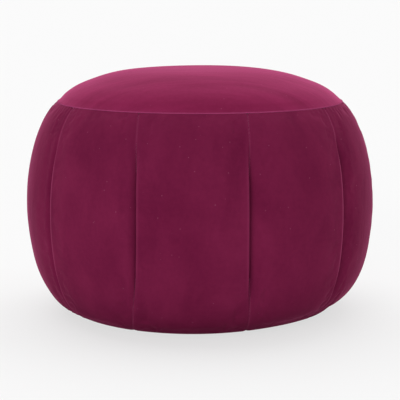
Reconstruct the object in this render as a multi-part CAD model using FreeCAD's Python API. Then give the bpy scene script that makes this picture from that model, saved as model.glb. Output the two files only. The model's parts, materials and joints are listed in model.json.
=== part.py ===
import FreeCAD, Part
import math
import os

# Round pleated tuffet: a plywood drum on glides, padded to a barrel with a domed seat, and covered
# in velvet. Ten side panels meet in pleats that open over the belly and close at the top seam and
# at the base. Millimetres, +Z up, origin on the floor under the centre of the seat.
# Azimuth 0 faces the front, along -Y, and grows towards +X.

# Outer form of the velvet
belly_diameter = 610.0
belly_height = 193.0
seam_diameter = 502.0
overall_height = 430.0
crown_height = 58.0
crown_flatness = 3.7
panel_count = 10
first_pleat_azimuth = 15.6
pleat_depth = 10.0
pleat_sharpness = 6

# Cover, padding and what separates the layers
velvet_thickness = 2.0
padding_thickness = 16.0
layer_clearance = 0.3
piping_diameter = 3.0
piping_clearance = 0.1
velvet_turn_under = 35.0
dust_cover_thickness = 0.5
dust_cover_rim = 13.0

# Wooden drum, whose board edge the velvet turns round
board_diameter = 430.0
board_thickness = 18.0
seat_foam_thickness = 72.0
post_count = 8
post_width = 40.0
post_edge_distance = 10.0
liner_thickness = 3.0
liner_joint_gap = 2.0
side_foam_foot = 22.0
pad_foot_angle = 12.0

# Screws that hold the boards to the posts
frame_screw_length = 50.0
frame_screw_diameter = 4.5
frame_screw_head_diameter = 9.0
screw_tip_length = 6.0
screw_recess_width = 1.2
screw_recess_depth = 1.5

# Staples
staple_wire = 0.6
staple_crown = 11.0
staple_leg = 8.0
cover_staples_per_panel = 4
dust_cover_staples_per_panel = 2
liner_staple_count = 12
cover_staple_inset = 25.0
dust_staple_inset = 17.0

# Glides under the base board
glide_count = 4
glide_diameter = 25.0
glide_height = 7.5
glide_circle_diameter = 300.0
glide_edge_radius = 1.5
glide_recess_diameter = 10.0
glide_recess_depth = 4.0
glide_screw_length = 20.0
glide_screw_diameter = 3.5
glide_screw_head_diameter = 7.5
glide_screw_head_height = 2.4

# Places that follow from the sizes above
board_underside = glide_height + dust_cover_thickness
velvet_underside = board_underside - velvet_thickness
base_board_top = board_underside + board_thickness
foam_inset = velvet_thickness + padding_thickness + 2 * layer_clearance
seat_board_top = overall_height - foam_inset - seat_foam_thickness
seat_board_underside = seat_board_top - board_thickness
board_radius = board_diameter / 2
liner_radius = board_radius + liner_thickness
base_radius = board_radius
seam_radius = seam_diameter / 2
seam_height = overall_height - crown_height
panel_angle = 360.0 / panel_count
turn_under_radius = base_radius - velvet_turn_under
cover_staple_radius = base_radius - cover_staple_inset
dust_staple_radius = base_radius - dust_staple_inset
dust_cover_radius = base_radius - dust_cover_rim
post_radius = board_radius - post_edge_distance - post_width / 2

# The side is an ellipse arc about the point above the base edge, level with the belly
side_depth = belly_diameter / 2 - base_radius
lower_side_height = belly_height - velvet_underside
seam_angle = math.acos((seam_radius - base_radius) / side_depth)
upper_side_height = (seam_height - belly_height) / math.sin(seam_angle)
base_angle = -math.pi / 2

# How finely the curves are followed
SIDE_STATIONS = 15
CROWN_STATIONS = 12
PANEL_SHARES = (0.0, 0.3, 0.55, 0.75, 0.87, 0.95, 1.0)


def point(radius, height):
    """A point of an outline in the XZ plane."""
    return FreeCAD.Vector(radius, 0, height)


def turned(shape, azimuth):
    """A copy of a shape drawn in the XZ plane, turned so that its +X side faces the azimuth."""
    copy = shape.copy()
    copy.rotate(FreeCAD.Vector(0, 0, 0), FreeCAD.Vector(0, 0, 1), azimuth - 90)
    return copy


def side_point(angle, inset):
    """The side outline at an ellipse angle, from the base edge at -90 degrees up to the seam."""
    height = lower_side_height if angle < 0 else upper_side_height
    across, up = math.cos(angle) / side_depth, math.sin(angle) / height
    length = math.hypot(across, up)
    radius = base_radius + side_depth * math.cos(angle) - inset * across / length
    return point(radius, belly_height + height * math.sin(angle) - inset * up / length)


def crown_point(share, inset):
    """The domed top at a share of the seam's radius: flat in the middle, falling to the seam."""
    slope = crown_height * crown_flatness * share ** (crown_flatness - 1) / seam_radius
    length = math.hypot(slope, 1)
    height = seam_height + crown_height * (1 - share**crown_flatness)
    return point(seam_radius * share - inset * slope / length, height - inset / length)


def seam_stop(gap):
    """The side angle and the crown share that lie a gap away from the seam, along the outline."""
    seam = side_point(seam_angle, 0)
    step = 0.0005
    angle, share = seam_angle, 1.0
    while side_point(angle, 0).sub(seam).Length < gap:
        angle -= step
    while crown_point(share, 0).sub(seam).Length < gap:
        share -= step
    return angle, share


def evenly(low, high, count):
    """Values from low to high, both included."""
    return [low + (high - low) * i / (count - 1) for i in range(count)]


def curve(points):
    """One smooth edge through the points."""
    spline = Part.BSplineCurve()
    spline.interpolate(points)
    return spline.toShape()


def line(start, end):
    """One straight edge."""
    return Part.makeLine(start, end)


def revolved(edges):
    """The solid that a closed outline in the XZ plane sweeps round the Z axis."""
    face = Part.Face(Part.Wire(edges))
    solid = face.revolve(FreeCAD.Vector(0, 0, 0), FreeCAD.Vector(0, 0, 1), 360)
    return Part.Solid(solid) if solid.ShapeType != "Solid" else solid


def disc(radius, low, high):
    """An upright cylinder on the Z axis between two heights."""
    return Part.makeCylinder(radius, high - low, FreeCAD.Vector(0, 0, low))


def tube(outer, inner, low, high):
    """A disc with a round hole right through it."""
    return disc(outer, low, high).cut(disc(inner, low - 1, high + 1))


def ring_of(shape, count, first=0.0):
    """Copies of a shape drawn facing +X, evenly round the Z axis."""
    return [turned(shape, first + 360.0 * i / count) for i in range(count)]


def pleat_drop(share, angle, low, high):
    """How far the velvet dips below the outline near a pleat, fading out at both of its ends."""
    along = (angle - low) / (high - low)
    fade = 1 - (2 * along - 1) ** 4
    return pleat_depth * abs(share) ** pleat_sharpness * max(fade, 0.0)


def panel_shares():
    """Places across a panel, closer together towards its two pleats."""
    return sorted({sign * s for s in PANEL_SHARES for sign in (-1, 1)})


def pleated_loft(section):
    """Joins section(share), wires drawn in the XZ plane, across one panel that faces +X."""
    wires = []
    for share in panel_shares():
        wires.append(turned(section(share), 90 + share * panel_angle / 2))
    return Part.makeLoft(wires, True, False)


def side_panel_section(share):
    """Cut through a side panel: turned under the board, round the belly and up to the seam."""
    top, _ = seam_stop(piping_diameter / 2 + piping_clearance)
    angles = evenly(base_angle, top, SIDE_STATIONS)
    drops = [pleat_drop(share, a, base_angle, seam_angle) for a in angles]
    outer = [side_point(a, d) for a, d in zip(angles, drops)]
    inner = [side_point(a, d + velvet_thickness) for a, d in zip(angles, drops)]
    hem_low = point(turn_under_radius, outer[0].z)
    hem_high = point(turn_under_radius, inner[0].z)
    return Part.Wire([
        line(hem_low, outer[0]),
        curve(outer),
        line(outer[-1], inner[-1]),
        curve(inner[::-1]),
        line(inner[0], hem_high),
        line(hem_high, hem_low),
    ])


def channel_pad_section(share):
    """Cut through the fibre pad behind a side panel, thinned where the pleat is pulled in."""
    top, _ = seam_stop(padding_thickness / 2)
    low = base_angle + math.radians(pad_foot_angle)
    angles = evenly(low, top, SIDE_STATIONS)
    skin = velvet_thickness + layer_clearance
    drops = [pleat_drop(share, a, base_angle, seam_angle) for a in angles]
    outer = [side_point(a, skin + d) for a, d in zip(angles, drops)]
    inner = [side_point(a, skin + padding_thickness) for a in angles]
    return Part.Wire([
        curve(outer),
        line(outer[-1], inner[-1]),
        curve(inner[::-1]),
        line(inner[0], outer[0]),
    ])


def crown_layer(outer_inset, inner_inset, gap):
    """A domed layer of the seat top that stops a gap short of the seam."""
    _, edge = seam_stop(gap)
    shares = evenly(0.0, edge, CROWN_STATIONS)
    outer = [crown_point(s, outer_inset) for s in shares]
    inner = [crown_point(s, inner_inset) for s in shares]
    return revolved([
        curve(outer),
        line(outer[-1], inner[-1]),
        curve(inner[::-1]),
        line(inner[0], outer[0]),
    ])


def foam_form():
    """The whole padded body inside the fibre layer, as one solid to cut the foams from."""
    top, edge = seam_stop(padding_thickness / 4)
    side = [side_point(a, foam_inset) for a in evenly(base_angle, top, SIDE_STATIONS)]
    crown = [crown_point(s, foam_inset) for s in evenly(edge, 0.0, CROWN_STATIONS)]
    centre = point(0, side[0].z)
    return revolved([
        line(centre, side[0]),
        curve(side),
        line(side[-1], crown[0]),
        curve(crown),
        line(crown[-1], centre),
    ])


def staple(wire=staple_wire):
    """A staple under a flat face at height 0: its crown hangs below and its legs point up."""
    half = staple_crown / 2
    corner = FreeCAD.Vector(-wire / 2, -half, -wire)
    crown = Part.makeBox(wire, staple_crown, wire, corner)
    legs = []
    for y in (-half, half - wire):
        legs.append(Part.makeBox(wire, wire, staple_leg, FreeCAD.Vector(-wire / 2, y, 0)))
    return crown.fuse(legs).removeSplitter()


def flat_staples(count, first, radius, height):
    """A ring of staples pressed up against a level face."""
    one = staple()
    one.translate(FreeCAD.Vector(radius, 0, height))
    return ring_of(one, count, first)


def cover_staples():
    """Staples that hold the turned-under velvet to the base board."""
    count = panel_count * cover_staples_per_panel
    first = first_pleat_azimuth + panel_angle / cover_staples_per_panel / 2
    return flat_staples(count, first, cover_staple_radius, velvet_underside)


def dust_cover_staples():
    """Staples round the rim of the dust cover, through it and the velvet into the board."""
    count = panel_count * dust_cover_staples_per_panel
    first = first_pleat_azimuth + panel_angle / dust_cover_staples_per_panel / 2
    return flat_staples(count, first, dust_staple_radius, dust_rim_underside())


def dust_rim_underside():
    """The underside of the dust cover's rim, which runs over the cover staples' crowns."""
    return velvet_underside - staple_wire - dust_cover_thickness


def liner_staples():
    """Two rings of staples that hold the liner to the edges of both boards."""
    one = staple()
    one.rotate(FreeCAD.Vector(0, 0, 0), FreeCAD.Vector(0, 1, 0), -90)
    found = []
    for height in (board_underside, seat_board_underside):
        ring = one.copy()
        ring.translate(FreeCAD.Vector(liner_radius, 0, height + board_thickness / 2))
        found += ring_of(ring, liner_staple_count)
    return found


def countersunk_screw():
    """A countersunk wood screw with its head's face at height 0, pointing down."""
    head, shank = frame_screw_head_diameter / 2, frame_screw_diameter / 2
    neck = shank - head
    tip = screw_tip_length - frame_screw_length
    corners = [
        point(0, 0),
        point(head, 0),
        point(shank, neck),
        point(shank, tip),
        point(0, -frame_screw_length),
        point(0, 0),
    ]
    body = revolved([Part.makePolygon(corners)])
    slots = []
    for length, width in ((head, screw_recess_width), (screw_recess_width, head)):
        corner = FreeCAD.Vector(-length / 2, -width / 2, -screw_recess_depth)
        slots.append(Part.makeBox(length, width, screw_recess_depth + 1, corner))
    return body.cut(slots)


def countersunk_hole():
    """The space that a countersunk screw takes up."""
    head, shank = frame_screw_head_diameter / 2, frame_screw_diameter / 2
    corners = [
        point(0, 1),
        point(head, 1),
        point(head, 0),
        point(shank, shank - head),
        point(shank, screw_tip_length - frame_screw_length),
        point(0, -frame_screw_length),
        point(0, 1),
    ]
    return revolved([Part.makePolygon(corners)])


def at_posts(shape, height, upside_down=False):
    """Copies of an upright shape on the axis of each post, at a height."""
    one = shape.copy()
    if upside_down:
        one.rotate(FreeCAD.Vector(0, 0, 0), FreeCAD.Vector(1, 0, 0), 180)
    one.translate(FreeCAD.Vector(post_radius, 0, height))
    return ring_of(one, post_count)


def glide_screw():
    """A pan-head screw with its head's bearing face at height 0, pointing up."""
    head, shank = glide_screw_head_diameter / 2, glide_screw_diameter / 2
    tip = glide_screw_length - glide_screw_diameter
    corners = [
        point(0, -glide_screw_head_height),
        point(head, -glide_screw_head_height),
        point(head, 0),
        point(shank, 0),
        point(shank, tip),
        point(0, glide_screw_length),
        point(0, -glide_screw_head_height),
    ]
    body = revolved([Part.makePolygon(corners)])
    slot_length = glide_screw_head_diameter - 2 * screw_recess_width
    corner = FreeCAD.Vector(-slot_length / 2, -screw_recess_width / 2, -glide_screw_head_height - 1)
    depth = screw_recess_depth / 2 + 1
    return body.cut(Part.makeBox(slot_length, screw_recess_width, depth, corner))


def at_glides(shape, height=0.0):
    """Copies of an upright shape on the axis of each glide, at a height."""
    one = shape.copy()
    one.translate(FreeCAD.Vector(glide_circle_diameter / 2, 0, height))
    return ring_of(one, glide_count, 180.0 / glide_count)


def glide_screw_hole():
    """The space that a glide's screw takes above its bearing face."""
    shank = glide_screw_diameter / 2
    tip = glide_screw_length - glide_screw_diameter
    corners = [
        point(0, 0),
        point(shank, 0),
        point(shank, tip),
        point(0, glide_screw_length),
        point(0, 0),
    ]
    return revolved([Part.makePolygon(corners)])


def glide():
    """A round nylon foot, recessed below for the screw's head."""
    body = disc(glide_diameter / 2, 0, glide_height)
    rim = [e for e in body.Edges if abs(e.BoundBox.ZMax) < 1e-6]
    body = body.makeFillet(glide_edge_radius, rim)
    body = body.cut(disc(glide_recess_diameter / 2, -1, glide_recess_depth))
    return body.cut(disc(glide_screw_diameter / 2, -1, glide_height + 1))


def base_board():
    """The lower plywood disc, with the places of every screw and staple in it."""
    board = disc(board_radius, board_underside, base_board_top)
    holes = at_posts(countersunk_hole(), board_underside, upside_down=True)
    holes += at_glides(glide_screw_hole(), glide_recess_depth)
    holes += cover_staples() + dust_cover_staples() + liner_staples()
    return board.cut(holes)


def seat_board():
    """The upper plywood disc under the seat foam."""
    board = disc(board_radius, seat_board_underside, seat_board_top)
    return board.cut(at_posts(countersunk_hole(), seat_board_top) + liner_staples())


def posts():
    """The softwood posts that hold the two boards apart, with pilot holes in both ends."""
    length = seat_board_underside - base_board_top
    corner = FreeCAD.Vector(post_radius - post_width / 2, -post_width / 2, base_board_top)
    post = Part.makeBox(post_width, post_width, length, corner)
    upper = countersunk_hole()
    upper.translate(FreeCAD.Vector(post_radius, 0, seat_board_top))
    lower = countersunk_hole()
    lower.rotate(FreeCAD.Vector(0, 0, 0), FreeCAD.Vector(1, 0, 0), 180)
    lower.translate(FreeCAD.Vector(post_radius, 0, board_underside))
    return ring_of(post.cut([upper, lower]), post_count)


def frame_liner():
    """Thin fibreboard bent round both boards, its ends butted at the back with a small gap."""
    liner = tube(liner_radius, board_radius, board_underside + layer_clearance, seat_board_top)
    corner = FreeCAD.Vector(0, board_radius - liner_thickness, board_underside - 1)
    height = seat_board_top - board_underside + 2
    gap = Part.makeBox(liner_joint_gap, 3 * liner_thickness, height, corner)
    gap.rotate(FreeCAD.Vector(0, 0, 0), FreeCAD.Vector(0, 0, 1), 180.0 / liner_staple_count)
    return liner.cut([gap] + liner_staples())


def side_foam():
    """The barrel of foam round the liner, up to the level of the seat board's top."""
    low = velvet_underside + side_foam_foot
    ring_bore = liner_radius + staple_wire + layer_clearance / 2
    ring = tube(belly_diameter, ring_bore, low, seat_board_top - layer_clearance / 2)
    return foam_form().common(ring)


def seat_foam():
    """The domed seat foam on the seat board."""
    above = disc(belly_diameter, seat_board_top, 2 * overall_height)
    return foam_form().common(above)


def side_panels():
    """The velvet panels, pierced by the staples that hold their turned-under edges."""
    panel = pleated_loft(side_panel_section)
    middle = first_pleat_azimuth + panel_angle / 2
    panel = turned(panel, middle)
    pierced = panel.cut(cover_staples() + dust_cover_staples())
    found = []
    for i in range(panel_count):
        copy = pierced.copy()
        copy.rotate(FreeCAD.Vector(0, 0, 0), FreeCAD.Vector(0, 0, 1), i * panel_angle)
        found.append(copy)
    return found


def channel_pads():
    """The fibre pads that round out each panel."""
    pad = pleated_loft(channel_pad_section)
    return ring_of(pad, panel_count, first_pleat_azimuth + panel_angle / 2)


def top_panel():
    """The round velvet panel of the seat."""
    return crown_layer(0, velvet_thickness, piping_diameter / 2 + piping_clearance)


def top_wadding():
    """The fibre layer between the seat foam and the velvet."""
    skin = velvet_thickness + layer_clearance
    return crown_layer(skin, skin + padding_thickness, padding_thickness / 2)


def seam_piping():
    """The fine velvet-covered cord in the seam between the seat panel and the side panels."""
    return Part.makeTorus(seam_radius, piping_diameter / 2, FreeCAD.Vector(0, 0, seam_height))


def dust_cover():
    """The black cloth under the base: up against the board, stepping down over the velvet."""
    rim_top = velvet_underside - staple_wire
    dish_edge = turn_under_radius - (board_underside - rim_top) - velvet_thickness
    upper = [
        point(0, board_underside),
        point(dish_edge, board_underside),
        point(turn_under_radius, rim_top),
        point(dust_cover_radius, rim_top),
    ]
    drop = FreeCAD.Vector(0, 0, -dust_cover_thickness)
    lower = [p.add(drop) for p in reversed(upper)]
    cloth = revolved([Part.makePolygon(upper + lower + upper[:1])])
    return cloth.cut(dust_cover_staples() + at_glides(glide_screw_hole(), glide_recess_depth))


def nodes():
    """Every separate piece, by the name of its node."""
    parts = {
        "base_board": base_board(),
        "seat_board": seat_board(),
        "base_board_screws": at_posts(countersunk_screw(), board_underside, upside_down=True),
        "seat_board_screws": at_posts(countersunk_screw(), seat_board_top),
        "frame_liner": frame_liner(),
        "liner_staples": liner_staples(),
        "side_foam": side_foam(),
        "seat_foam": seat_foam(),
        "top_wadding": top_wadding(),
        "top_panel": top_panel(),
        "seam_piping": seam_piping(),
        "cover_staples": cover_staples(),
        "dust_cover": dust_cover(),
        "dust_cover_staples": dust_cover_staples(),
        "glide_screws": at_glides(glide_screw(), glide_recess_depth),
    }
    for i, post in enumerate(posts(), 1):
        parts[f"post_{i}"] = post
    for i, pad in enumerate(channel_pads(), 1):
        parts[f"channel_pad_{i:02d}"] = pad
    for i, panel in enumerate(side_panels(), 1):
        parts[f"side_panel_{i:02d}"] = panel
    for i, foot in enumerate(at_glides(glide()), 1):
        parts[f"glide_{i}"] = foot
    return parts


def main():
    """Builds every piece and writes one STEP file for each node."""
    os.makedirs("parts", exist_ok=True)
    for name, made in nodes().items():
        solids = [s for shape in (made if isinstance(made, list) else [made]) for s in shape.Solids]
        shape = solids[0] if len(solids) == 1 else Part.makeCompound(solids)
        volume = sum(s.Volume for s in solids)
        valid = all(s.isValid() for s in solids)
        print(f"{name}: {len(solids)} solids, {volume / 1000:.1f} cm3, valid {valid}")
        shape.exportStep(f"parts/{name}.step")


main()
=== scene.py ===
"""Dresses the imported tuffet: velvet cover, padding, wooden drum, glides and a plain studio.

Metres, +Z up, origin on the floor under the middle of the seat. Azimuth 0 faces the front,
along -Y, and grows towards +X. Grids of points go by row and then by column, with the rows
upwards or towards the middle and the columns towards growing azimuth.
"""

import json
import logging
import math
from dataclasses import dataclass, field
from enum import Enum
from typing import Any, Callable, Iterable, Sequence

import bpy
import numpy as np
from bpy.types import Camera, Light, Material, NodeSocket, Object, World
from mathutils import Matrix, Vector, noise

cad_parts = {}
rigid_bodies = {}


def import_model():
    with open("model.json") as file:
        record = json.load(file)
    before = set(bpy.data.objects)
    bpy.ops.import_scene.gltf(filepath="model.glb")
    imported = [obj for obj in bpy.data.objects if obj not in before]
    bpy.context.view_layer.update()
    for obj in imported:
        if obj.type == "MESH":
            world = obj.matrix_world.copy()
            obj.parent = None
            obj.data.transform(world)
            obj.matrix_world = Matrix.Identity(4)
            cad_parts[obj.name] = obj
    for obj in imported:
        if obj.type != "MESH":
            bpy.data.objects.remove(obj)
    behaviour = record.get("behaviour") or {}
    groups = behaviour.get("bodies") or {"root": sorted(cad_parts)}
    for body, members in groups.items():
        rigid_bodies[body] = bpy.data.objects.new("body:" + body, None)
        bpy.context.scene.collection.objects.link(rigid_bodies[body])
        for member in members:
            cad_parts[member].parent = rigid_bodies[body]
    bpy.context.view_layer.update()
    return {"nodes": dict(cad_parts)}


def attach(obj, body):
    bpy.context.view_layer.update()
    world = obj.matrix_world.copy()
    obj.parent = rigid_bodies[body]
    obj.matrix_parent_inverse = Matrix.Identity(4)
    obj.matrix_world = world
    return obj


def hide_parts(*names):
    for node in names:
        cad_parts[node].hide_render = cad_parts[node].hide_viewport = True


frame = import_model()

Array = np.ndarray
Numbers = np.ndarray | float

LOG = logging.getLogger("tuffet")
MM = 0.001
# A wave texture draws about this many bands, light and dark, in one of its units.
BANDS_PER_UNIT = 6.28


# Colours and nodes


def linear(colour: str) -> tuple[float, float, float, float]:
    """Turns an sRGB colour into linear light.

    Args:
        colour: a hex value such as "#7A2048".

    Returns:
        Red, green, blue and an alpha of 1.
    """
    parts = [int(colour[i : i + 2], 16) / 255 for i in (1, 3, 5)]
    light = [c / 12.92 if c <= 0.04045 else ((c + 0.055) / 1.055) ** 2.4 for c in parts]
    return (light[0], light[1], light[2], 1.0)


def per_mm(size: float) -> float:
    """The texture scale that repeats a pattern every so many millimetres."""
    return 1.0 / (size * MM)


def per_band(size: float) -> float:
    """The wave texture scale that makes a light or a dark band about so many millimetres wide."""
    return per_mm(size) / BANDS_PER_UNIT


class NodeBench:
    """A node tree in the making."""

    def __init__(self, owner: Material | World) -> None:
        """Clears the tree.

        Args:
            owner: the material or the world that the nodes are for.
        """
        owner.use_nodes = True
        self.owner = owner
        self.tree = owner.node_tree
        self.tree.nodes.clear()

    def add(
        self, kind: str, inputs: dict[str | int, Any] | None = None, out: str | int = 0, **settings: Any
    ) -> NodeSocket | None:
        """Adds a node with its settings and links.

        Args:
            kind: the node's type, without the leading "ShaderNode".
            inputs: what each input gets: another node's output, a plain value or a hex colour.
                A texture that gets no Vector takes the object's own coordinates.
            out: which of its outputs comes back.
            settings: the node's own properties; stops lists the places and colours of a ramp.

        Returns:
            That output, or None from a node that has no outputs.
        """
        node = self.tree.nodes.new("ShaderNode" + kind)
        given = dict(inputs or {})
        if kind.startswith("Tex") and "Vector" in node.inputs and "Vector" not in given:
            given["Vector"] = self.place()
        for index, (place, colour) in enumerate(settings.pop("stops", [])):
            node.color_ramp.elements[index].position = place
            node.color_ramp.elements[index].color = linear(colour)
        for name, value in settings.items():
            setattr(node, name, value)
        for name, value in given.items():
            if isinstance(value, NodeSocket):
                self.tree.links.new(value, node.inputs[name])
            else:
                node.inputs[name].default_value = linear(value) if isinstance(value, str) else value
        return node.outputs[out] if node.outputs else None

    def place(self) -> NodeSocket:
        """The object's own coordinates, in metres."""
        return self.add("TexCoord", out="Object")

    def seen(self) -> NodeSocket:
        """Tells the rays that show a surface from the rays that only light something.

        Returns:
            1 for camera, glossy and transmission rays, and 0 for the rest.
        """
        share = self.add("LightPath", out="Is Camera Ray")
        for ray in ("Is Glossy Ray", "Is Transmission Ray"):
            share = self.add("Math", {0: share, 1: self.add("LightPath", out=ray)}, operation="MAXIMUM")
        return share


class SurfaceBench(NodeBench):
    """A material in the making."""

    def __init__(self, name: str, colour: str) -> None:
        """Starts an empty material with its name and its plain colour for viewports."""
        super().__init__(bpy.data.materials.new(name))
        self.owner.diffuse_color = linear(colour)

    def coat(self, inputs: dict[str, Any]) -> Material:
        """Ends the material with one shader that gets these inputs."""
        self.add("OutputMaterial", {"Surface": self.add("BsdfPrincipled", inputs)})
        return self.owner


# Finishes


@dataclass(frozen=True)
class CottonVelvet:
    """Cotton velvet, woven with a cut pile that was dyed and brushed.

    The short pile stands off the cloth and leans where it was stroked, so the face looks deep
    and dark, glows at its rims, and shows soft lighter and darker patches. Along seams and
    sharp folds a thin pale line is painted in, a painted sheen highlight where the pile turns
    edge-on.
    """

    name: str = "cotton_velvet"
    deep: str = "#641437"
    lifted: str = "#721C40"
    # The colour of the painted sheen highlight along seams and sharp folds.
    painted_sheen: str = "#A8456F"
    sheen: str = "#F272AA"
    lint: str = "#C07A9E"
    sheen_weight: float = 0.36
    sheen_roughness: float = 0.25
    stroke_mm: float = 52.0
    stroke_stretch: tuple[float, float, float] = (1.0, 1.0, 0.55)
    clump_mm: float = 7.0
    pile_mm: float = 2.6
    lint_mm: float = 15.0
    lean: float = 0.3

    def build(self) -> Material:
        """Builds the velvet.

        Returns:
            The node material.
        """
        bench = SurfaceBench(self.name, self.lifted)
        stroked = bench.add("Mapping", {"Vector": bench.place(), "Scale": self.stroke_stretch})
        stroke = bench.add(
            "TexNoise",
            {"Vector": stroked, "Scale": per_mm(self.stroke_mm), "Detail": 5.0, "Distortion": 0.5},
        )
        clump = bench.add("TexNoise", {"Scale": per_mm(self.clump_mm), "Detail": 3.0, "Roughness": 0.6})
        # The real pile is about 0.3 mm across, so it is drawn at 2.6 mm to show at all.
        pile = bench.add("TexNoise", {"Scale": per_mm(self.pile_mm), "Detail": 2.0, "Roughness": 0.7})
        leaning = bench.add("Math", {0: clump, 1: 0.35, 2: stroke}, operation="MULTIPLY_ADD")
        tone = bench.add("MapRange", {"Value": leaning, "From Min": 0.45, "From Max": 0.9})
        nap = bench.add("Mix", {0: tone, 6: self.deep, 7: self.lifted}, 2, data_type="RGBA")
        # Single fibres of lint stand out as pale specks, drawn 1 to 2 mm across so that they show.
        cells = bench.add("TexVoronoi", {"Scale": per_mm(self.lint_mm)})
        speck = bench.add(
            "MapRange", {"Value": cells, "From Min": 0.03, "From Max": 0.065, "To Min": 0.28, "To Max": 0.0}
        )
        linted = bench.add("Mix", {0: speck, 6: nap, 7: self.lint}, 2, data_type="RGBA")
        # A painted sheen highlight: marked seams and sharp folds are mixed towards a pale pink line.
        seam = bench.add("Attribute", out="Fac", attribute_name="painted_sheen")
        face = bench.add("Mix", {0: seam, 6: linted, 7: self.painted_sheen}, 2, data_type="RGBA")
        height = bench.add("Math", {0: pile, 1: 0.35, 2: clump}, operation="MULTIPLY_ADD")
        tufts = bench.add("Bump", {"Height": height, "Strength": 0.25, "Distance": 0.8 * MM})
        lean = bench.add(
            "Bump", {"Height": stroke, "Strength": self.lean, "Distance": 5 * MM, "Normal": tufts}
        )
        return bench.coat(
            {
                "Base Color": face,
                "Roughness": 0.92,
                "IOR": 1.45,
                "Specular IOR Level": 0.06,
                "Sheen Weight": self.sheen_weight,
                "Sheen Roughness": self.sheen_roughness,
                "Sheen Tint": self.sheen,
                "Normal": lean,
            }
        )


@dataclass(frozen=True)
class PolyesterWadding:
    """Polyester fibre wadding, carded into a loose white batt.

    Crimped fibres cross at all angles, so it looks white, matt and slightly hairy.
    """

    name: str = "polyester_wadding"
    shade: str = "#D9D7D0"
    light: str = "#F1F0EC"
    fibre_mm: float = 3.0

    def build(self) -> Material:
        """Builds the wadding.

        Returns:
            The node material.
        """
        bench = SurfaceBench(self.name, self.light)
        # A fibre is 0.03 mm thick, so bundles of it are drawn 3 mm apart.
        fibres = bench.add("TexNoise", {"Scale": per_mm(self.fibre_mm), "Detail": 6.0, "Distortion": 2.5})
        tone = bench.add("ValToRGB", {"Fac": fibres}, stops=[(0.35, self.shade), (0.65, self.light)])
        bump = bench.add("Bump", {"Height": fibres, "Strength": 0.6, "Distance": 1.5 * MM})
        return bench.coat({"Base Color": tone, "Roughness": 0.95, "Sheen Weight": 0.2, "Normal": bump})


@dataclass(frozen=True)
class UpholsteryFoam:
    """Polyurethane foam, cast in a block and cut with a band knife.

    The knife opens the cells, so the face is matt, pale yellow and finely pitted.
    """

    name: str = "polyurethane_foam"
    skin: str = "#EADFB4"
    painted_pit_shade: str = "#B9A66B"
    cell_mm: float = 2.2

    def build(self) -> Material:
        """Builds the foam.

        Returns:
            The node material.
        """
        bench = SurfaceBench(self.name, self.skin)
        # Cells are about 0.8 mm, drawn at 2.2 mm so that the pits show.
        cells = bench.add("TexVoronoi", {"Scale": per_mm(self.cell_mm)})
        # The pits are painted darker than the skin, a painted shade in the hollows of the open cells.
        tone = bench.add("ValToRGB", {"Fac": cells}, stops=[(0.1, self.painted_pit_shade), (0.4, self.skin)])
        bump = bench.add("Bump", {"Height": cells, "Strength": 0.5, "Distance": 0.8 * MM})
        return bench.coat({"Base Color": tone, "Roughness": 0.9, "Normal": bump})


@dataclass(frozen=True)
class BirchPlywood:
    """Birch plywood, peeled veneers glued crosswise and sanded.

    The faces show pale broad grain, and the sawn edge shows light and dark plies.
    """

    name: str = "birch_plywood"
    early: str = "#D9BC8B"
    late: str = "#B8925C"
    glue: str = "#8A6238"
    grain_mm: float = 16.0
    ply_mm: float = 2.8

    def build(self) -> Material:
        """Builds the plywood.

        Returns:
            The node material.
        """
        bench = SurfaceBench(self.name, self.early)
        along = bench.add("Mapping", {"Vector": bench.place(), "Scale": (0.12, 1.0, 1.0)})
        grain = bench.add(
            "TexNoise",
            {
                "Vector": along,
                "Scale": per_mm(self.grain_mm),
                "Detail": 7.0,
                "Roughness": 0.62,
                "Distortion": 0.5,
            },
        )
        face = bench.add("ValToRGB", {"Fac": grain}, stops=[(0.38, self.late), (0.56, self.early)])
        plies = bench.add(
            "TexWave", {"Scale": per_band(self.ply_mm), "Distortion": 0.3}, "Fac", bands_direction="Z"
        )
        edge = bench.add("ValToRGB", {"Fac": plies}, stops=[(0.25, self.glue), (0.6, self.early)])
        # The plies show only where the surface stands upright.
        upward = bench.add("SeparateXYZ", {0: bench.add("NewGeometry", out="Normal")}, "Z")
        level = bench.add("Math", {0: upward}, operation="ABSOLUTE")
        colour = bench.add("Mix", {0: level, 6: edge, 7: face}, 2, data_type="RGBA")
        bump = bench.add("Bump", {"Height": grain, "Strength": 0.25, "Distance": 0.4 * MM})
        return bench.coat({"Base Color": colour, "Roughness": 0.62, "Normal": bump})


@dataclass(frozen=True)
class PlanedPine:
    """Pine, sawn and planed along the grain.

    Pale early wood and narrow orange late wood run up each post as long stripes.
    """

    name: str = "planed_pine"
    early: str = "#E3C692"
    late: str = "#B9874A"
    ring_mm: float = 6.0

    def build(self) -> Material:
        """Builds the pine.

        Returns:
            The node material.
        """
        bench = SurfaceBench(self.name, self.early)
        along = bench.add("Mapping", {"Vector": bench.place(), "Scale": (1.0, 1.0, 0.06)})
        rings = bench.add(
            "TexWave",
            {
                "Vector": along,
                "Scale": per_band(self.ring_mm),
                "Distortion": 3.5,
                "Detail": 3.0,
                "Detail Scale": 0.6,
            },
            "Fac",
            bands_direction="DIAGONAL",
            wave_profile="SAW",
        )
        tone = bench.add("ValToRGB", {"Fac": rings}, stops=[(0.45, self.early), (0.95, self.late)])
        bump = bench.add("Bump", {"Height": rings, "Strength": 0.2, "Distance": 0.3 * MM})
        return bench.coat({"Base Color": tone, "Roughness": 0.58, "Normal": bump})


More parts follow.
